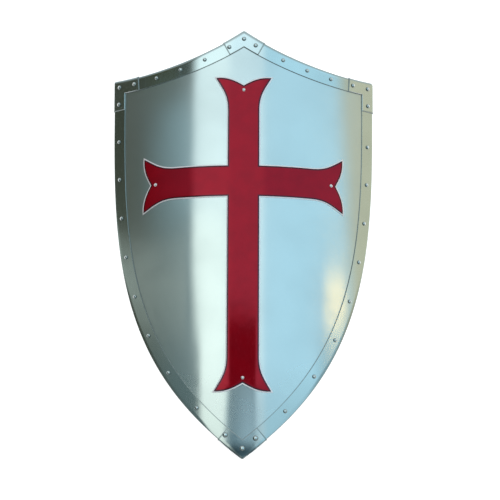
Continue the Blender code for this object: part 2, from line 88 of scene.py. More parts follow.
class Wire:
    """A socket that can be reckoned with: each operator adds its Math node to the socket's tree."""

    def __init__(self, tree, socket):
        self.tree = tree
        self.socket = socket

    def math(self, operation, *values):
        return self.tree.node("ShaderNodeMath", {"operation": operation}, dict(enumerate(values)))[0]

    def __add__(self, other):
        return self.math("ADD", self, other)

    def __radd__(self, other):
        return self.math("ADD", other, self)

    def __sub__(self, other):
        return self.math("SUBTRACT", self, other)

    def __rsub__(self, other):
        return self.math("SUBTRACT", other, self)

    def __mul__(self, other):
        return self.math("MULTIPLY", self, other)

    def __rmul__(self, other):
        return self.math("MULTIPLY", other, self)

    def __truediv__(self, other):
        return self.math("DIVIDE", self, other)

    def __rtruediv__(self, other):
        return self.math("DIVIDE", other, self)

    def __neg__(self):
        return self.math("MULTIPLY", self, -1.0)

    def sine(self):
        return self.math("SINE", self)

    def cosine(self):
        return self.math("COSINE", self)

    def size(self):
        return self.math("ABSOLUTE", self)

    def heading(self, ahead):
        """The angle whose tangent is this over that, in degrees."""
        return self.math("ARCTAN2", self, ahead) * math.degrees(1)

    def arcsine(self):
        return self.math("ARCSINE", self) * math.degrees(1)

    def rise(self, low, high):
        """From 0 at low to 1 at high, eased at both ends. Low may be the larger one."""
        settings = {"interpolation_type": "SMOOTHSTEP"}
        return self.tree.node(
            "ShaderNodeMapRange", settings, {"Value": self, "From Min": low, "From Max": high}
        )["Result"]


class Tree:
    """A node tree to build in."""

    def __init__(self, tree):
        self.tree = tree

    def node(self, kind, settings=None, sockets=None):
        """Adds a node: its settings first, then the values or wires of its sockets, by name or
        number. Returns its outputs as wires, by name and by number."""
        made = self.tree.nodes.new(kind)
        for name, value in (settings or {}).items():
            setattr(made, name, value)
        for name, value in (sockets or {}).items():
            if isinstance(value, Wire):
                value = [value]
            if isinstance(value, list):
                for wire in value:
                    self.tree.links.new(wire.socket, made.inputs[name])
            elif isinstance(value, tuple) and made.inputs[name].type == "RGBA":
                made.inputs[name].default_value = (*value, 1)
            else:
                made.inputs[name].default_value = value
        wires = {}
        for number, socket in enumerate(made.outputs):
            wires[number] = Wire(self, socket)
            wires.setdefault(socket.name, wires[number])
        return wires

    def mix(self, factor, first, second):
        """From the first colour to the second."""
        settings = {"data_type": "RGBA"}
        return self.node("ShaderNodeMix", settings, {0: factor, 6: first, 7: second})[2]


# The floor and the light. A plain white floor under a pale studio tent. What the polished steel
# mirrors is the tent: a dark side on the left, a bright strip beside it, and pale panels.
FLOOR_SIZE = 14.0
FLOOR_WHITE = (0.80, 0.80, 0.80)
FLOOR_GLOW = (0.62, 0.58, 0.58)  # evens out the tent's cold light
FLOOR_ROUGHNESS = 0.9
FLOOR_GLOSS = 0.1
floor_mesh = bpy.data.meshes.new("floor")
floor_shape = bmesh.new()
bmesh.ops.create_grid(floor_shape, x_segments=2, y_segments=2, size=FLOOR_SIZE / 2)
floor_shape.to_mesh(floor_mesh)
floor_shape.free()
floor = bpy.data.objects.new("floor", floor_mesh)
bpy.context.scene.collection.objects.link(floor)
floor_paint = bpy.data.materials.new("floor_white")
floor_paint.use_nodes = True
floor_shader = floor_paint.node_tree.nodes["Principled BSDF"]
floor_shader.inputs["Base Color"].default_value = (*FLOOR_WHITE, 1)
floor_shader.inputs["Roughness"].default_value = FLOOR_ROUGHNESS
floor_shader.inputs["Specular IOR Level"].default_value = FLOOR_GLOSS
floor_shader.inputs["Emission Color"].default_value = (*FLOOR_GLOW, 1)
floor_shader.inputs["Emission Strength"].default_value = 1.0
floor_mesh.materials.append(floor_paint)

# The tent's own colours, from the dark side round to the warm one.
WALL_DARK = (0.060, 0.073, 0.054)
WALL_SHEEN = (0.29, 0.50, 0.57)  # the dark side's paler end, beside the window
WALL_BAND = (0.37, 0.45, 0.41)
WALL_BROWN = (0.055, 0.062, 0.024)
WINDOW = (1.34, 1.58, 1.48)
WINDOW_HIGH = (1.10, 1.40, 1.44)  # its upper part
PANEL_PALE = (0.92, 1.24, 1.34)
PANEL_BLUE = (0.59, 1.00, 1.19)
WALL_WARM = (0.66, 0.70, 0.53)
LAMP = (3.90, 2.80, 1.05)
LAMP_HALO = (0.95, 1.00, 0.90)
STAND_DARK = (0.03, 0.06, 0.07)
STAND_SHADE = (0.10, 0.20, 0.25)
STAND_PALE = (0.33, 0.52, 0.61)
BEYOND_HIGH = (0.42, 0.52, 0.54)
BEYOND_LOW = (0.13, 0.18, 0.18)
CEILING = (0.62, 0.76, 0.78)
FAR_LEFT = (0.20, 0.26, 0.27)
FAR_RIGHT = (0.44, 0.53, 0.54)
SKY_WHITE = (0.97, 0.97, 0.97)
world = bpy.data.worlds.new("studio_tent")
world.use_nodes = True
bpy.context.scene.world = world
tent = Tree(world.node_tree)
toward = tent.node("ShaderNodeTexCoord")["Generated"]


def along(direction):
    """How far the tent's direction goes along this one."""
    settings = {"operation": "DOT_PRODUCT"}
    return tent.node("ShaderNodeVectorMath", settings, {0: toward, 1: tuple(direction)})["Value"]


across = along((1, 0, 0)).heading(along(outward))  # degrees to the right of square out of the face
rise = along(upward).arcsine()  # degrees toward the peak's end
window = tent.mix(rise.rise(14.4, 15.8), WINDOW, WINDOW_HIGH)
window_foot = rise.rise(12.6, 9.8)  # down here its edge is sharper and further in
window_edge = across - window_foot * 4.0
window_start = window_foot * 2.5 - 31.0
warm_edge = across - rise.rise(18.0, 16.0) * 4.0
corner_shade = rise.rise(11.4, 10.4) * across.rise(38.0, 48.0) * 0.35
foot_shade = rise.rise(9.6, 8.4) * 0.25
top_shade = rise.rise(17.6, 19.4) * rise.rise(20.2, 19.4) * 0.22
top_shade = top_shade * across.rise(30.0, 45.0) * across.rise(66.0, 60.0)
stand_foot = tent.mix(across.rise(-7.0, 4.0), STAND_SHADE, STAND_PALE)
lamp_across = (across - 52.5) * (across - 52.5) / 64.0
from_lamp = lamp_across + (rise - 11.85) * (rise - 11.85) / 0.16
far = tent.mix(across.rise(-85.0, 85.0), FAR_LEFT, FAR_RIGHT)
seen_bare = tent.node("ShaderNodeLightPath")["Is Camera Ray"]
# The panels, each laid over those before it: its colour, how much of it shows, and its soft
# edges. An edge goes by an angle, from where the panel ends to where it is full.
panels = (
    (WALL_SHEEN, rise.rise(14.2, 15.8) * 0.68 + 0.32, (across, -66.0, -28.0), (rise, 19.0, 18.0)),
    (WALL_BAND, 1.0, (rise, 10.6, 11.6), (rise, 14.0, 13.2), (across, -29.0, -33.0)),
    (WALL_BROWN, 1.0, (rise, 18.7, 19.3), (across, -60.0, -52.0), (across, -35.5, -41.0)),
    (window, 1.0, (window_edge, window_start, -24.5)),
    (PANEL_PALE, 1.0, (across, -10.0, -5.0)),
    (PANEL_BLUE, 1.0, (across, 9.5, 14.0)),
    (WALL_WARM, 1.0, (warm_edge, 50.0, 64.0)),
    (WALL_DARK, corner_shade + foot_shade + top_shade),
    (STAND_DARK, 1.0, (across, -8.0, -6.5), (across, 8.0, 6.5), (rise, 11.8, 11.2)),
    (stand_foot, 1.0, (across, -10.0, -7.0), (across, 15.0, 3.0), (rise, 9.2, 8.6)),
    (LAMP_HALO, 0.35, (from_lamp, 6.0, 0.8)),
    (LAMP, 1.0, (from_lamp, 1.5, 0.1)),
    (BEYOND_HIGH, 1.0, (rise, 22.0, 27.0)),
    (BEYOND_LOW, 1.0, (rise, -12.0, -18.0)),
    (CEILING, 1.0, (rise, 36.0, 50.0)),
    (far, 1.0, (rise, -20.0, -40.0)),
    (SKY_WHITE, seen_bare),
)
colour = WALL_DARK
for paint, share, *soft_edges in panels:
    for angle, end, full in soft_edges:
        share = angle.rise(end, full) * share
    colour = tent.mix(share, colour, paint)
tent.tree.links.new(colour.socket, tent.tree.nodes["Background"].inputs["Color"])

TOP_LIGHT_POWER = 85.0
TOP_LIGHT_SIZE = 4.0
TOP_LIGHT_HEIGHT = 3.5
top_light = bpy.data.objects.new("top_light", bpy.data.lights.new("top_light", "AREA"))
bpy.context.scene.collection.objects.link(top_light)
top_light.data.size = TOP_LIGHT_SIZE
top_light.data.energy = TOP_LIGHT_POWER
top_light.location = (0, 0, TOP_LIGHT_HEIGHT)
top_light.visible_glossy = False


# The plate: one sheet of steel, 18 gauge, cut to a heater outline with hollow top edges, and
# passed through rollers so that it curves about its length. Polished along the roll, then handled.
PEAK_RISE = 0.0706
HALF_WIDTH = 0.2512
TOP_EDGE_RADIUS = 0.393
SIDE_LEAN = math.radians(1.13)
TIP_RISE = math.radians(36.4)
SIDE_FULLNESS = 0.311
TIP_FULLNESS = 0.446
TOP_STEPS = 44
SIDE_STEPS = 128
ROLL_RADIUS = 0.38492
RIPPLE_HEIGHT = 0.0003
RIPPLE_LENGTH = 0.16
SHEET_GAP = 0.0003
BORDER_THICKNESS = 0.0010
BORDER_WIDTH = 0.0254
RETURN_WIDTH = 0.0084  # how far the border reaches behind the plate
CELL_WIDTH = 0.005
CELL_LENGTH = 0.016
FENCE = 0.0015


class Run:
    """One smooth stretch of an outline, between two corners. A place on it is a mileage, from its
    first point, and an inset, square to the edge."""

    def __init__(self, points):
        self.points = points
        self.miles = [0.0]
        for before, after in zip(points, points[1:]):
            self.miles.append(self.miles[-1] + (after - before).length)
        self.length = self.miles[-1]

    def step(self, mile):
        """The number of the step that this mileage lies on."""
        low, high = 0, len(self.points) - 2
        while low < high:
            middle = (low + high + 1) // 2
            if self.miles[middle] <= mile:
                low = middle
            else:
                high = middle - 1
        return low

    def heading(self, step):
        step = max(0, min(step, len(self.points) - 2))
        return (self.points[step + 1] - self.points[step]).normalized()

    def at(self, mile, inset):
        """Past either end, the run goes straight on."""
        step = self.step(mile)
        ahead = self.heading(step)
        share = (mile - self.miles[step]) / (self.miles[step + 1] - self.miles[step])
        side = self.heading(step - 1) if share < 0.5 else self.heading(step + 1)
        facing = ahead.lerp((ahead + side).normalized(), min(1.0, abs(2 * share - 1))).normalized()
        point = self.points[step] + (mile - self.miles[step]) * ahead
        return point + inset * Vector((facing.y, -facing.x))


class Outline:
    """A closed outline: smooth runs, clockwise."""

    def __init__(self, runs):
        self.runs = [Run(points) for points in runs]

    def corner(self, number, inset):
        """Where this run and the one before it meet at this inset: a mileage on each."""
        before, after = self.runs[number - 1], self.runs[number % len(self.runs)]
        last, first = before.length, 0.0
        for _ in range(12):
            gap = after.at(first, inset) - before.at(last, inset)
            ahead, onward = before.heading(before.step(last)), after.heading(after.step(first))
            turn = ahead.x * onward.y - ahead.y * onward.x
            last += (gap.x * onward.y - gap.y * onward.x) / turn
            first += (gap.x * ahead.y - gap.y * ahead.x) / turn
        return last, first

    def ends(self, number, inset):
        """The mileages at which a run starts and ends at this inset."""
        return self.corner(number, inset)[1], self.corner(number + 1, inset)[0]

    def ring(self, inset, counts):
        """The whole outline at this inset, each run in its count of even steps."""
        points = []
        for number, count in enumerate(counts):
            start, end = self.ends(number, inset)
            for step in range(count):
                points.append(self.runs[number].at(start + (end - start) * step / count, inset))
        return points


def bezier(start, start_handle, end_handle, end, steps):
    """Points along one cubic curve."""
    ends = [Vector((*point, 0)) for point in (start, start_handle, end_handle, end)]
    return [point.to_2d() for point in interpolate_bezier(*ends, steps + 1)]


def mirrored(points):
    """The same run on the left."""
    return [Vector((-point.x, point.y)) for point in reversed(points)]


def outline_runs():
    """The shield's edge: right top, right side, left side, left top."""
    peak = Vector((0, HEIGHT))
    corner = Vector((HALF_WIDTH, HEIGHT - PEAK_RISE))
    foot = Vector((0, 0))
    chord = corner - peak
    lift = math.sqrt(TOP_EDGE_RADIUS**2 - (chord.length / 2) ** 2)
    centre = (peak + corner) / 2 + lift * Vector((-chord.y, chord.x)).normalized()
    start = math.atan2(peak.y - centre.y, peak.x - centre.x)
    turn = 2 * math.asin(chord.length / 2 / TOP_EDGE_RADIUS)
    top = []
    for step in range(TOP_STEPS + 1):
        angle = start + turn * step / TOP_STEPS
        top.append(centre + TOP_EDGE_RADIUS * Vector((math.cos(angle), math.sin(angle))))
    drop = (corner - foot).length
    down = corner - SIDE_FULLNESS * drop * Vector((math.sin(SIDE_LEAN), math.cos(SIDE_LEAN)))
    rise = TIP_FULLNESS * drop * Vector((math.cos(TIP_RISE), math.sin(TIP_RISE)))
    side = bezier(corner, down, rise, foot, SIDE_STEPS)
    return [top, side, mirrored(side), mirrored(top)]


def lofted(shape, rows, rims, round_rows, round_points):
    """Faces between rows of points. A row's rim value is its distance in from the edge, and the
    end value marks a piece's two cut ends."""
    rim = shape.verts.layers.float["rim"]
    end = shape.verts.layers.float["end"]
    grid = []
    for row, value in zip(rows, rims):
        verts = [shape.verts.new(point) for point in row]
        for vert in verts:
            vert[rim] = value
        if not round_points:
            for vert in (*verts[:2], *verts[-2:]):
                vert[end] = 1.0
        grid.append(verts)
    count = len(grid[0])
    pairs = list(zip(grid, grid[1:]))
    if round_rows:
        pairs.append((grid[-1], grid[0]))
    for row, following in pairs:
        for place in range(count if round_points else count - 1):
            onward = (place + 1) % count
            shape.faces.new((row[place], row[onward], following[onward], following[place]))
    return grid


def filled(shape, border, fence):
    """Fills a ring of points. Inside the fence, rows of points let the fill roll smoothly."""
    rim = shape.verts.layers.float["rim"]
    points = [vert.co.to_2d() for vert in border]
    low = min(point.y for point in fence)
    high = max(point.y for point in fence)
    rows = math.ceil((high - low) / CELL_LENGTH)
    for row in range(rows):
        v = low + (high - low) * (row + 0.5) / rows
        ends = []
        for start, end in zip(fence, fence[1:] + fence[:1]):
            if (start.y > v) != (end.y > v):
                ends.append(start.x + (end.x - start.x) * (v - start.y) / (end.y - start.y))
        ends.sort()
        for left, right in zip(ends[::2], ends[1::2]):
            line = math.ceil(left / CELL_WIDTH)
            while line * CELL_WIDTH < right:
                points.append(Vector((line * CELL_WIDTH, v)))
                line += 1
    ring = list(range(len(border)))
    places, _, faces, sources, _, _ = delaunay_2d_cdt(points, [], [ring], 1, 1e-7)
    verts = []
    for place, source in zip(places, sources):
        if source and min(source) < len(border):
            verts.append(border[min(source)])
        else:
            verts.append(shape.verts.new((*place, border[0].co.z)))
            verts[-1][rim] = border[0][rim]
    for face in faces:
        shape.faces.new([verts[number] for number in face])


def new_shape():
    shape = bmesh.new()
    shape.verts.layers.float.new("rim")
    shape.verts.layers.float.new("end")
    return shape


def flat_object(name, shape):
    """A flat-laid piece, ready for the roller."""
    bmesh.ops.remove_doubles(shape, verts=shape.verts, dist=1e-7)
    bmesh.ops.recalc_face_normals(shape, faces=shape.faces)
    mesh = bpy.data.meshes.new(name)
    shape.to_mesh(mesh)
    shape.free()
    made = bpy.data.objects.new(name, mesh)
    bpy.context.scene.collection.objects.link(made)
    return made


def group_tree(name, inputs):
    """An empty geometry tree with these named inputs, and its input wires."""
    tree = bpy.data.node_groups.new(name, "GeometryNodeTree")
    tree.interface.new_socket(name="Geometry", in_out="INPUT", socket_type="NodeSocketGeometry")
    for socket, kind in inputs.items():
        tree.interface.new_socket(name=socket, in_out="INPUT", socket_type=kind)
    tree.interface.new_socket(name="Geometry", in_out="OUTPUT", socket_type="NodeSocketGeometry")
    bench = Tree(tree)
    return bench, bench.node("NodeGroupInput")


def set_inputs(modifier, values):
    """Sets a geometry tree's inputs on its modifier, each by its socket's identifier."""
    for item in modifier.node_group.interface.items_tree:
        if item.in_out == "INPUT" and item.name in values:
            modifier[item.identifier] = values[item.name]


def roller_tree():
    """Rolls flat pieces about the crown line, over the slight ripples that hand rolling leaves.
    Each piece keeps its flat place as an attribute, for its finish."""
    inputs = {
        "Radius": "NodeSocketFloat",
        "Ripple Height": "NodeSocketFloat",
        "Ripple Length": "NodeSocketFloat",
        "Material": "NodeSocketMaterial",
    }
    bench, given = group_tree("roller", inputs)
    flat = bench.node("GeometryNodeInputPosition")[0]
    kept = bench.node(
        "GeometryNodeStoreNamedAttribute",
        {"data_type": "FLOAT_VECTOR", "domain": "POINT"},
        {"Geometry": given["Geometry"], "Name": "flat", "Value": flat},
    )
    place = bench.node("ShaderNodeSeparateXYZ", {}, {0: flat})
    on_plate = bench.node("ShaderNodeCombineXYZ", {}, {"X": place["X"], "Y": place["Y"]})[0]
    ripple = bench.node(
        "ShaderNodeTexNoise",
        {},
        {"Vector": on_plate, "Scale": 1.0 / given["Ripple Length"], "Detail": 1.0},
    )
    depth = (ripple[0] - 0.5) * given["Ripple Height"] * 2.0
    reach = place["Z"] + depth + given["Radius"]
    angle = place["X"] / given["Radius"]
    rolled = bench.node(
        "ShaderNodeCombineXYZ",
        {},
        {"X": angle.sine() * reach, "Y": place["Y"], "Z": angle.cosine() * reach - given["Radius"]},
    )[0]
    moved = bench.node("GeometryNodeSetPosition", {}, {"Geometry": kept[0], "Position": rolled})
    smooth = bench.node("GeometryNodeSetShadeSmooth", {}, {"Geometry": moved[0]})
    done = bench.node(
        "GeometryNodeSetMaterial", {}, {"Geometry": smooth[0], "Material": given["Material"]}
    )
    bench.node("NodeGroupOutput", {}, {"Geometry": done[0]})
    return bench.tree


ROLLER = roller_tree()
SHARP_ANGLE = math.radians(35)


def rolled_piece(made, finish):
    """Rolls a flat object, lays it where the shield lies, and leaves it a plain mesh."""
    roller = made.modifiers.new("Roller", "NODES")
    roller.node_group = ROLLER
    values = {
        "Radius": ROLL_RADIUS,
        "Ripple Height": RIPPLE_HEIGHT,
        "Ripple Length": RIPPLE_LENGTH,
        "Material": finish,
    }
    set_inputs(roller, values)
    bpy.context.view_layer.update()
    graph = bpy.context.evaluated_depsgraph_get()
    mesh = bpy.data.meshes.new_from_object(made.evaluated_get(graph))
    mesh.transform(lying)
    mesh.set_sharp_from_angle(angle=SHARP_ANGLE)
    made.modifiers.clear()
    made.data = mesh
    return made


VEIL_ROUGHNESS = 0.30
WEAR_SHADE = 0.93  # how far smudges darken the steel
# grime and painted shade, darkening the steel where the sheets step and round rivet feet
DIRT_AND_SHADE = (0.10, 0.13, 0.13)
# painted dark reflection: the dark stand mirrored at the shield's tip
TIP_DARK_REFLECTION = (0.03, 0.06, 0.07)
GRAIN_PITCH = 900.0
GRAIN_RUN = 0.02  # a grain mark's width over its length
GRAIN_DEPTH = 0.00006
GRAIN_STRENGTH = 0.06
SCRATCH_TURN = 0.5
SCRATCH_PITCH = (900, 9, 1)
SMUDGE_PITCH = 11.0
CLOUD_PITCH = 55.0


def steel_finish(name, tone, roughness, veil, streak, dirt_and_shade, tip_reflection=0.0):
    """Bare steel, polished along the roll: its grain, handling marks and scratches, a veil of fine
    scuffs that is thicker toward the peak, grime and painted shade along the border's edges, at
    cut ends and round the feet of rivets, and a painted dark reflection at the shield's tip."""
    material = bpy.data.materials.new(name)
    material.use_nodes = True
    steel = Tree(material.node_tree)
    flat = steel.node("ShaderNodeAttribute", {"attribute_name": "flat"})["Vector"]
    rim = steel.node("ShaderNodeAttribute", {"attribute_name": "rim"})["Fac"]
    end = steel.node("ShaderNodeAttribute", {"attribute_name": "end"})["Fac"]
    place = steel.node("ShaderNodeSeparateXYZ", {}, {0: flat})
    grain_place = steel.node(
        "ShaderNodeVectorMath", {"operation": "MULTIPLY"}, {0: flat, 1: (1.0, GRAIN_RUN, 1.0)}
    )[0]
    scratch_place = steel.node(
        "ShaderNodeMapping",
        {},
        {"Vector": flat, "Rotation": (0, 0, SCRATCH_TURN), "Scale": SCRATCH_PITCH},
    )[0]

    def noise(vector, scale, detail):
        return steel.node(
            "ShaderNodeTexNoise", {}, {"Vector": vector, "Scale": scale, "Detail": detail}
        )[0]

    grain = noise(grain_place, GRAIN_PITCH, 3.0)
    smudge = noise(flat, SMUDGE_PITCH, 5.0)
    cloud = noise(flat, CLOUD_PITCH, 4.0)
    scratched = noise(scratch_place, 1.0, 2.0).rise(0.70, 0.74)
    front = place["Z"].rise(-0.0009, -0.0003)
    border_edge = RETURN_WIDTH + (BORDER_WIDTH - RETURN_WIDTH) * front
    # Grime and painted shade: darker along the border strips' inner edges, at cut ends and round
    # rivet feet, where the sheets step and shade falls.
    dirt_and_shade_share = (rim - border_edge).size().rise(0.0012, 0.0002) + end.rise(0.2, 0.8)
    dirt_and_shade_share = dirt_and_shade_share.math("MINIMUM", dirt_and_shade_share, 1.0) * dirt_and_shade
    worn_and_shaded = steel.mix(smudge.rise(0.35, 0.75), tone, tuple(WEAR_SHADE * part for part in tone))
    worn_and_shaded = steel.mix(dirt_and_shade_share, worn_and_shaded, DIRT_AND_SHADE)
    # Painted dark reflection: dark blotches near the tip stand in for the dark stand mirrored there.
    if tip_reflection:
        tip_reflection_share = place["Y"].rise(0.036, 0.010) * cloud.rise(0.22, 0.52) * tip_reflection
        worn_and_shaded = steel.mix(tip_reflection_share, worn_and_shaded, TIP_DARK_REFLECTION)
    matt = roughness + (smudge - 0.5) * 0.05 + (cloud - 0.5) * 0.02 + (grain - 0.5) * streak
    matt = matt + scratched * 0.10 + dirt_and_shade_share * 0.3
    relief = steel.node(
        "ShaderNodeBump", {}, {"Strength": GRAIN_STRENGTH, "Distance": GRAIN_DEPTH, "Height": grain}
    )[0]
    shader = steel.tree.nodes["Principled BSDF"]
    shader.inputs["Metallic"].default_value = 1.0
    steel.tree.links.new(worn_and_shaded.socket, shader.inputs["Base Color"])
    steel.tree.links.new(matt.socket, shader.inputs["Roughness"])
    steel.tree.links.new(relief.socket, shader.inputs["Normal"])
    if veil:
        scuffed = steel.node(
            "ShaderNodeBsdfPrincipled",
            {},
            {"Base Color": worn_and_shaded, "Metallic": 1.0, "Roughness": VEIL_ROUGHNESS, "Normal": relief},
        )[0]
        share = veil * (place["Y"] + 0.5) + (smudge - 0.5) * 0.2
        polished = Wire(steel, shader.outputs[0])
        mixed = steel.node("ShaderNodeMixShader", {}, {0: share, 1: polished, 2: scuffed})[0]
        steel.tree.links.new(mixed.socket, steel.tree.nodes["Material Output"].inputs["Surface"])
    return material


PLATE_TONE = (0.70, 0.72, 0.72)
EDGE_RINGS = (0.0019, 0.008, 0.016, 0.0230, 0.0252, 0.0256, 0.0262, 0.0275, 0.032)
edge = Outline(outline_runs())
counts = (TOP_STEPS, SIDE_STEPS, SIDE_STEPS, TOP_STEPS)
shape = new_shape()
rows = [[(*point, 0) for point in edge.ring(inset, counts)] for inset in EDGE_RINGS]
grid = lofted(shape, rows, EDGE_RINGS, False, True)
filled(shape, grid[-1], edge.ring(EDGE_RINGS[-1] + FENCE, counts))
plate = flat_object("rolled_plate", shape)
if plate.data.polygons[0].normal.z < 0:
    plate.data.flip_normals()
wall = plate.modifiers.new("Sheet", "SOLIDIFY")
wall.thickness = PLATE_THICKNESS
wall.offset = -1
wall.use_even_offset = True
plate_finish = steel_finish(
    "rolled_plate_steel", PLATE_TONE, roughness=0.10, veil=0.42, streak=0.05, dirt_and_shade=0.35
)
rolled_piece(plate, plate_finish)
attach(plate, "root")
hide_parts("shield_plate")


# The border: four strips of steel folded round the plate's edge and mitred at the corners. The
# fold is tight, and its lip behind the plate stops just short of the rivets' tails.
STRIP_INNER = PLATE_THICKNESS / 2 + SHEET_GAP
STRIP_OUTER = STRIP_INNER + BORDER_THICKNESS
FOLD_INSET = STRIP_OUTER
FOLD_LEVEL = -PLATE_THICKNESS / 2
FOLD_STEPS = 10
EDGE_EASE = 0.0005
MITRE_GAP = 0.0003
STRIP_TONE = (0.66, 0.685, 0.68)
STRIP_STATION = 0.006


def folded_section(inner, outer, width):
    """The closed section of a folded strip, as (inset, level) pairs, from its front inner edge."""

    def arc(radius, steps):
        turns = [math.pi / 2 + math.pi * step / steps for step in range(steps + 1)]
        return [(FOLD_INSET + radius * math.cos(t), FOLD_LEVEL + radius * math.sin(t)) for t in turns]

    top = FOLD_LEVEL + outer
    front = [(width, top - EDGE_EASE), (width - EDGE_EASE, top)]
    front += [(FOLD_INSET + (width - FOLD_INSET) * share, top) for share in (0.8, 0.6, 0.4, 0.2)]
    lip = [(RETURN_WIDTH, FOLD_LEVEL - outer), (RETURN_WIDTH, FOLD_LEVEL - inner)]
    inside = arc(inner, FOLD_STEPS // 2)[::-1] + [(width, FOLD_LEVEL + inner)]
    return front + arc(outer, FOLD_STEPS) + lip + inside


strip_section = folded_section(STRIP_INNER, STRIP_OUTER, BORDER_WIDTH)
strip_finish = steel_finish(
    "border_strip_steel", STRIP_TONE, roughness=0.10, veil=0.0, streak=0.05, dirt_and_shade=0.55
)
# Each strip: its node, and the number of the stretch of edge that it covers.
strips = (
    ("border_top_right", 0),
    ("border_side_right", 1),
    ("border_side_left", 2),
    ("border_top_left", 3),
)
for node, number in strips:
    run = edge.runs[number]
    stations = round(run.length / STRIP_STATION)
    shape = new_shape()
    rows = []
    for inset, level in strip_section:
        start, end = edge.ends(number, inset)
        reach = end - start - 2 * MITRE_GAP
        miles = [start + MITRE_GAP + reach * step / stations for step in range(stations + 1)]
        rows.append([(*run.at(mile, inset), level) for mile in miles])
    grid = lofted(shape, rows, [inset for inset, _ in strip_section], True, False)
    shape.faces.new([row[0] for row in grid])
    shape.faces.new([row[-1] for row in grid])
    strip = rolled_piece(flat_object(f"{node}_strip", shape), strip_finish)
    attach(strip, "root")
    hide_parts(node)


# The corner brackets: short pieces of the same folded steel, bent over the strips' mitred ends.
# Their outer corners are hammered round, and their ends are cut square.
BRACKET_THICKNESS = 0.0010
BRACKET_SETBACK = 0.0004
BRACKET_INNER = STRIP_OUTER + SHEET_GAP
BRACKET_OUTER = BRACKET_INNER + BRACKET_THICKNESS
LEG_STATION = 0.004
CORNER_STEPS = 6
BRACKET_TONE = (0.70, 0.72, 0.715)
BRACKET_WIDTH = BORDER_WIDTH - BRACKET_SETBACK
bracket_section = folded_section(BRACKET_INNER, BRACKET_OUTER, BRACKET_WIDTH)
eased_section = folded_section(BRACKET_INNER, BRACKET_OUTER - EDGE_EASE, BRACKET_WIDTH)
bracket_finish = steel_finish(
    "bracket_steel", BRACKET_TONE, roughness=0.12, veil=0.0, streak=0.05, dirt_and_shade=0.55, tip_reflection=0.85
)
# Each bracket: its node, its corner's number, its two legs' lengths, and its corner's rounding.
brackets = (
    ("bracket_peak", 0, 0.0440, 0.0440, 0.0045),
    ("bracket_right_corner", 1, 0.0545, 0.0575, 0.0050),
    ("bracket_tip", 2, 0.0530, 0.0530, 0.0030),
    ("bracket_left_corner", 3, 0.0575, 0.0545, 0.0032),
)


def bracket_row(number, inset, leg_before, leg_after, rounding):
    """One line of a bracket, round its corner at this inset: a leg, the bend and a leg."""
    before, after = edge.runs[number - 1], edge.runs[number]
    last, first = edge.corner(number, max(inset, rounding))
    pivot = after.at(first, max(inset, rounding))
    cut = before.length - leg_before
    steps_before = round(leg_before / LEG_STATION)
    steps_after = round(leg_after / LEG_STATION)
    row = [before.at(cut, inset), before.at(cut + EDGE_EASE, inset)]
    for step in range(1, steps_before):
        row.append(before.at(cut + (last - cut) * step / steps_before, inset))
    come = before.heading(before.step(last))
    turn = come.angle_signed(after.heading(after.step(first)))
    arm = Vector((-come.y, come.x)) * max(rounding - inset, 0.0)
    for step in range(CORNER_STEPS + 1):
        row.append(pivot + Matrix.Rotation(-turn * step / CORNER_STEPS, 2) @ arm)
    for step in range(1, steps_after):
        row.append(after.at(first + (leg_after - first) * step / steps_after, inset))
    return row + [after.at(leg_after - EDGE_EASE, inset), after.at(leg_after, inset)]


for node, number, leg_before, leg_after, rounding in brackets:
    shape = new_shape()
    rows = []
    for (inset, level), (end_inset, end_level) in zip(bracket_section, eased_section):
        row = bracket_row(number, inset, leg_before, leg_after, rounding)
        ends = bracket_row(number, end_inset, leg_before, leg_after, rounding)
        middle = [(*point, level) for point in row[1:-1]]
        rows.append([(*ends[0], end_level), *middle, (*ends[-1], end_level)])
    grid = lofted(shape, rows, [inset for inset, _ in bracket_section], True, False)
    shape.faces.new([row[0] for row in grid])
    shape.faces.new([row[-1] for row in grid])
    bracket = rolled_piece(flat_object(f"{node}_fold", shape), bracket_finish)
    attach(bracket, "root")
    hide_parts(node)


# The cross: thin sheet steel with a filed edge, painted near white and pink as a highlight,
# enamelled deep red on its face with painted shade where the enamel rounds over its edge, and held
# by a rivet near the end of each arm.
CROSS_DROP = 0.2064
CROSS_TOP_DROP = 0.0882
CROSS_SIDE_MARGIN = 0.0700
CROSS_FOOT_RISE = 0.1148
CROSS_ARM_WIDTH = 0.0540
CROSS_END_WIDTH = 0.0962
CROSS_FLARE = 0.0600
CROSS_NOTCH = 0.0148
CROSS_THICKNESS = 0.0008
FLARE_START = 0.52
FLARE_HANDLE = (0.76, 0.34)
LOBE_HANDLE = (0.55, 0.10)
NOTCH_HANDLE = (0.24, 0.55)
CURVE_STEPS = 24
ARM_STEP = 0.006
ENAMEL_RED = (0.310, 0.0004, 0.0060)
# painted shade along the enamel's rounded edge
ENAMEL_EDGE_SHADE = (0.022, 0.0008, 0.003)
ENAMEL_CLARITY = 0.45  # how far the steel shines through
ENAMEL_GLOSS_TINT = (1.0, 0.7, 1.0)
ENAMEL_DEPTH = 0.0002
ENAMEL_STRENGTH = 0.12
FILED_SHINE = 0.85
# painted highlight: the filed edge's near-white, pink-tinted colour
FILED_EDGE_HIGHLIGHT = (0.98, 0.86, 0.88)
# The cross's section, from its foot on the plate inward: the distance in from its outline, and
# the level. Its filed edge slopes outside the outline, and the enamel rounds over inside it.
cross_rims = (
    (-0.0026, SHEET_GAP),
    (-0.0025, SHEET_GAP + 0.25 * CROSS_THICKNESS),
    (-0.0005, SHEET_GAP + 0.60 * CROSS_THICKNESS),
    (0.0003, SHEET_GAP + 0.80 * CROSS_THICKNESS),
    (0.0012, SHEET_GAP + 0.95 * CROSS_THICKNESS),
    (0.0022, SHEET_GAP + 0.99 * CROSS_THICKNESS),
    (0.0036, SHEET_GAP + CROSS_THICKNESS),
)


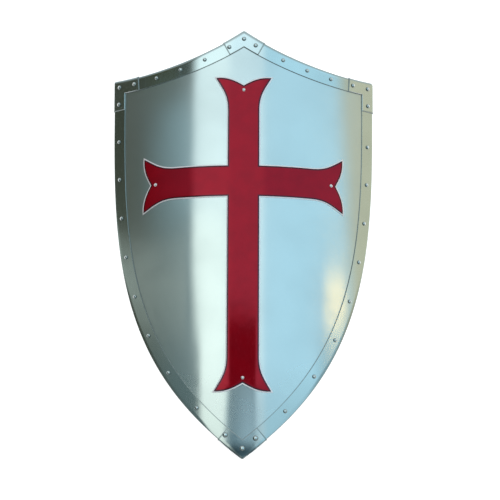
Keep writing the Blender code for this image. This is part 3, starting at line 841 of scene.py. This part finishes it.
def cross_runs():
    """Four arms clockwise from the top one. Each has a straight side that flares, two lobes that
    meet in a notch, and the other side."""
    level = HEIGHT - PEAK_RISE - CROSS_DROP
    side_reach = HALF_WIDTH - CROSS_SIDE_MARGIN
    reaches = (HEIGHT - CROSS_TOP_DROP - level, side_reach, level - CROSS_FOOT_RISE, side_reach)
    arm = CROSS_ARM_WIDTH / 2
    end = CROSS_END_WIDTH / 2
    runs = []
    for quarter, reach in enumerate(reaches):
        flare_foot = reach - CROSS_FLARE
        straight = [Vector((-arm, arm + (flare_foot - arm) * k / 8)) for k in range(8)]
        flare = bezier(
            (-arm, flare_foot),
            (-arm, reach - FLARE_START * CROSS_FLARE),
            (-FLARE_HANDLE[0] * end, reach - FLARE_HANDLE[1] * CROSS_FLARE),
            (-end, reach),
            CURVE_STEPS,
        )
        lobe = bezier(
            (-end, reach),
            (-LOBE_HANDLE[0] * end, reach + LOBE_HANDLE[1] * CROSS_NOTCH),
            (-NOTCH_HANDLE[0] * end, reach - NOTCH_HANDLE[1] * CROSS_NOTCH),
            (0, reach - CROSS_NOTCH),
            CURVE_STEPS,
        )
        for points in (straight + flare, lobe, mirrored(lobe), mirrored(straight + flare)):
            turned = points
            for _ in range(quarter):
                turned = [Vector((point.y, -point.x)) for point in turned]
            runs.append([point + Vector((0, level)) for point in turned])
    return runs


cross_outline = Outline(cross_runs())
cross_counts = [max(8, round(run.length / (ARM_STEP / 2))) for run in cross_outline.runs]
shape = new_shape()
rows = []
for inset, level in cross_rims:
    rows.append([(*point, level) for point in cross_outline.ring(inset, cross_counts)])
grid = lofted(shape, rows, [inset for inset, _ in cross_rims], False, True)
filled(shape, grid[-1], cross_outline.ring(cross_rims[-1][0] + FENCE, cross_counts))
filled(shape, grid[0], cross_outline.ring(cross_rims[0][0] + FENCE, cross_counts))
cross = flat_object("enamelled_cross", shape)

cross_finish = bpy.data.materials.new("red_enamel")
cross_finish.use_nodes = True
enamel = Tree(cross_finish.node_tree)
flat = enamel.node("ShaderNodeAttribute", {"attribute_name": "flat"})["Vector"]
rim = enamel.node("ShaderNodeAttribute", {"attribute_name": "rim"})["Fac"]
wave = enamel.node("ShaderNodeTexNoise", {}, {"Vector": flat, "Scale": 35.0, "Detail": 2.0})[0]
speck = enamel.node("ShaderNodeTexNoise", {}, {"Vector": flat, "Scale": 420.0, "Detail": 2.0})[0]
# The filed steel edge outside the outline is real; its near-white, pink-tinted colour is a painted
# highlight.
bare = rim.rise(-0.0004, -0.0007)
# Painted shade: the enamel darkens over the last few millimetres inside its outline, where it rounds
# over.
edge_shade = rim.rise(0.0034, 0.0004)
colour = enamel.mix(wave.rise(0.3, 0.7), ENAMEL_RED, tuple(0.88 * part for part in ENAMEL_RED))
colour = enamel.mix(edge_shade, colour, ENAMEL_EDGE_SHADE)
colour = enamel.mix(bare, colour, FILED_EDGE_HIGHLIGHT)
matt = 0.06 + (wave - 0.5) * 0.03 + speck.rise(0.62, 0.72) * 0.10 + bare * 0.40
relief = enamel.node(
    "ShaderNodeBump",
    {},
    {"Strength": ENAMEL_STRENGTH, "Distance": ENAMEL_DEPTH, "Height": wave + speck * 0.06},
)[0]
shader = enamel.tree.nodes["Principled BSDF"]
shader.inputs["Specular Tint"].default_value = (*ENAMEL_GLOSS_TINT, 1)
enamel.tree.links.new(colour.socket, shader.inputs["Base Color"])
enamel.tree.links.new(matt.socket, shader.inputs["Roughness"])
shine = ENAMEL_CLARITY + (FILED_SHINE - ENAMEL_CLARITY) * bare
shine = shine - edge_shade * ENAMEL_CLARITY * (1.0 - bare)
enamel.tree.links.new(shine.socket, shader.inputs["Metallic"])
enamel.tree.links.new(relief.socket, shader.inputs["Normal"])
rolled_piece(cross, cross_finish)
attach(cross, "root")
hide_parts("cross")


# The rivets: round-headed steel rivets set from the front and peened over behind. One tree turns
# them out, each with its head on its own sheet and its own turn.
SHANK_RADIUS = 0.0020
TAIL_RADIUS = 0.0031
TAIL_HEIGHT = 0.0011
TAIL_GAP = 0.0005
FOOT_REACH = 1.3  # the grime and painted shade round a head fade out over this much of its height
SHANK_LAP = 0.001  # how far the shank runs on into the head and the tail
CUTTING_BLOCK = (0.04, 0.04, 0.02)
HEAD_TILT = 0.02
RIVET_TONE = (0.78, 0.79, 0.79)
# painted reflection: the cross's rivets are painted lighter and pink, for the red enamel's glow on
# them
CROSS_RIVET_PAINTED_GLOW = (0.97, 0.90, 0.90)


def rivet_tree():
    """A rivet on every point: dome, shank and tail made one, with its foot marked for grime and
    painted shade, turned at random, and realized."""
    inputs = {
        "Head Radius": "NodeSocketFloat",
        "Head Height": "NodeSocketFloat",
        "Shank Radius": "NodeSocketFloat",
        "Grip": "NodeSocketFloat",
        "Tail Radius": "NodeSocketFloat",
        "Tail Height": "NodeSocketFloat",
        "Seed": "NodeSocketInt",
        "Material": "NodeSocketMaterial",
    }
    bench, given = group_tree("rivets", inputs)

    def dome(radius, height, level, facing):
        """Half an ellipsoid on this level. Its flat side is cut off with a block."""
        ball = bench.node(
            "GeometryNodeMeshUVSphere", {}, {"Segments": 32, "Rings": 20, "Radius": 1.0}
        )[0]
        stretch = bench.node("ShaderNodeCombineXYZ", {}, {"X": radius, "Y": radius, "Z": height})[0]
        place = bench.node("ShaderNodeCombineXYZ", {}, {"Z": level})[0]
        ball = bench.node(
            "GeometryNodeTransform", {}, {"Geometry": ball, "Scale": stretch, "Translation": place}
        )[0]
        block = bench.node("GeometryNodeMeshCube", {}, {"Size": CUTTING_BLOCK})[0]
        drop = facing * CUTTING_BLOCK[2] / 2
        shift = bench.node("ShaderNodeCombineXYZ", {}, {"Z": level - drop})[0]
        block = bench.node("GeometryNodeTransform", {}, {"Geometry": block, "Translation": shift})[0]
        cut = {"operation": "DIFFERENCE", "solver": "EXACT"}
        return bench.node("GeometryNodeMeshBoolean", cut, {0: ball, 1: block})[0]

    tail_level = -given["Grip"]
    head = dome(given["Head Radius"], given["Head Height"], SHEET_GAP, 1.0)
    tail = dome(given["Tail Radius"], given["Tail Height"], tail_level, -1.0)
    shank = bench.node(
        "GeometryNodeMeshCylinder",
        {},
        {"Vertices": 24, "Radius": given["Shank Radius"], "Depth": given["Grip"] + SHANK_LAP},
    )[0]
    shift = bench.node("ShaderNodeCombineXYZ", {}, {"Z": tail_level * 0.5})[0]
    shank = bench.node("GeometryNodeTransform", {}, {"Geometry": shank, "Translation": shift})[0]
    union = {"operation": "UNION", "solver": "EXACT"}
    whole = bench.node("GeometryNodeMeshBoolean", union, {1: [head, shank, tail]})[0]
    where = bench.node("GeometryNodeInputPosition")[0]
    above = bench.node("ShaderNodeSeparateXYZ", {}, {0: where})["Z"] - SHEET_GAP
    # Grime and painted shade: darker toward the foot of each head, where it meets its sheet.
    foot = 1.0 - above.size() / (given["Head Height"] * FOOT_REACH)
    whole = bench.node(
        "GeometryNodeStoreNamedAttribute",
        {"data_type": "FLOAT", "domain": "POINT"},
        {"Geometry": whole, "Name": "end", "Value": foot},
    )[0]
    spin = bench.node(
        "FunctionNodeRandomValue",
        {"data_type": "FLOAT_VECTOR"},
        {0: (-HEAD_TILT, -HEAD_TILT, 0.0), 1: (HEAD_TILT, HEAD_TILT, 6.28), "Seed": given["Seed"]},
    )[0]
    placed = bench.node(
        "GeometryNodeInstanceOnPoints",
        {},
        {"Points": given["Geometry"], "Instance": whole, "Rotation": spin},
    )[0]
    real = bench.node("GeometryNodeRealizeInstances", {}, {0: placed})[0]
    done = bench.node(
        "GeometryNodeSetMaterial", {}, {"Geometry": real, "Material": given["Material"]}
    )
    bench.node("NodeGroupOutput", {}, {"Geometry": done[0]})
    return bench.tree


def flat_place(node):
    """Where a rivet's middle lies on the flat sheets."""
    low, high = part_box(node)
    place = lying.inverted() @ ((low + high) / 2)
    return ROLL_RADIUS * math.atan2(place.x, place.z + ROLL_RADIUS), place.y


rivet_finish = steel_finish(
    "rivet_steel", RIVET_TONE, roughness=0.12, veil=0.0, streak=0.04, dirt_and_shade=0.9
)
# The cross's rivets: the same steel, painted lighter and pink as a reflection of the red enamel.
cross_rivet_finish = steel_finish(
    "cross_rivet_steel", CROSS_RIVET_PAINTED_GLOW, roughness=0.34, veil=0.0, streak=0.04, dirt_and_shade=0.0
)
strip_face = SHEET_GAP + BORDER_THICKNESS
bracket_face = strip_face + SHEET_GAP + BRACKET_THICKNESS
cross_face = SHEET_GAP + CROSS_THICKNESS
BRACKET_RIVETS = ("rivet_peak_", "rivet_left_", "rivet_right_")
# Each group: its name, its nodes, its heads' radius and height, what they sit on, and the finish.
rivet_groups = (
    ("strip_rivets", ("rivet_top_", "rivet_side_"), 0.0035, 0.0021, strip_face, rivet_finish),
    ("bracket_rivets", BRACKET_RIVETS, 0.0038, 0.0022, bracket_face, rivet_finish),
    ("tip_rivets", ("rivet_tip_",), 0.0046, 0.0025, bracket_face, rivet_finish),
    ("cross_rivets", ("rivet_cross_",), 0.0030, 0.0017, cross_face, cross_rivet_finish),
)
RIVETS = rivet_tree()
for seed, (name, prefixes, radius, height, face, finish) in enumerate(rivet_groups):
    nodes = sorted(node for node in frame["nodes"] if node.startswith(prefixes))
    mesh = bpy.data.meshes.new(name)
    mesh.from_pydata([(*flat_place(node), face) for node in nodes], [], [])
    rivets = bpy.data.objects.new(name, mesh)
    bpy.context.scene.collection.objects.link(rivets)
    row = rivets.modifiers.new("Rivets", "NODES")
    row.node_group = RIVETS
    values = {
        "Head Radius": radius,
        "Head Height": height,
        "Shank Radius": SHANK_RADIUS,
        "Grip": face + PLATE_THICKNESS + TAIL_GAP,
        "Tail Radius": TAIL_RADIUS,
        "Tail Height": TAIL_HEIGHT,
        "Seed": seed,
        "Material": finish,
    }
    set_inputs(row, values)
    rolled_piece(rivets, finish)
    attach(rivets, "root")
    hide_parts(*nodes)
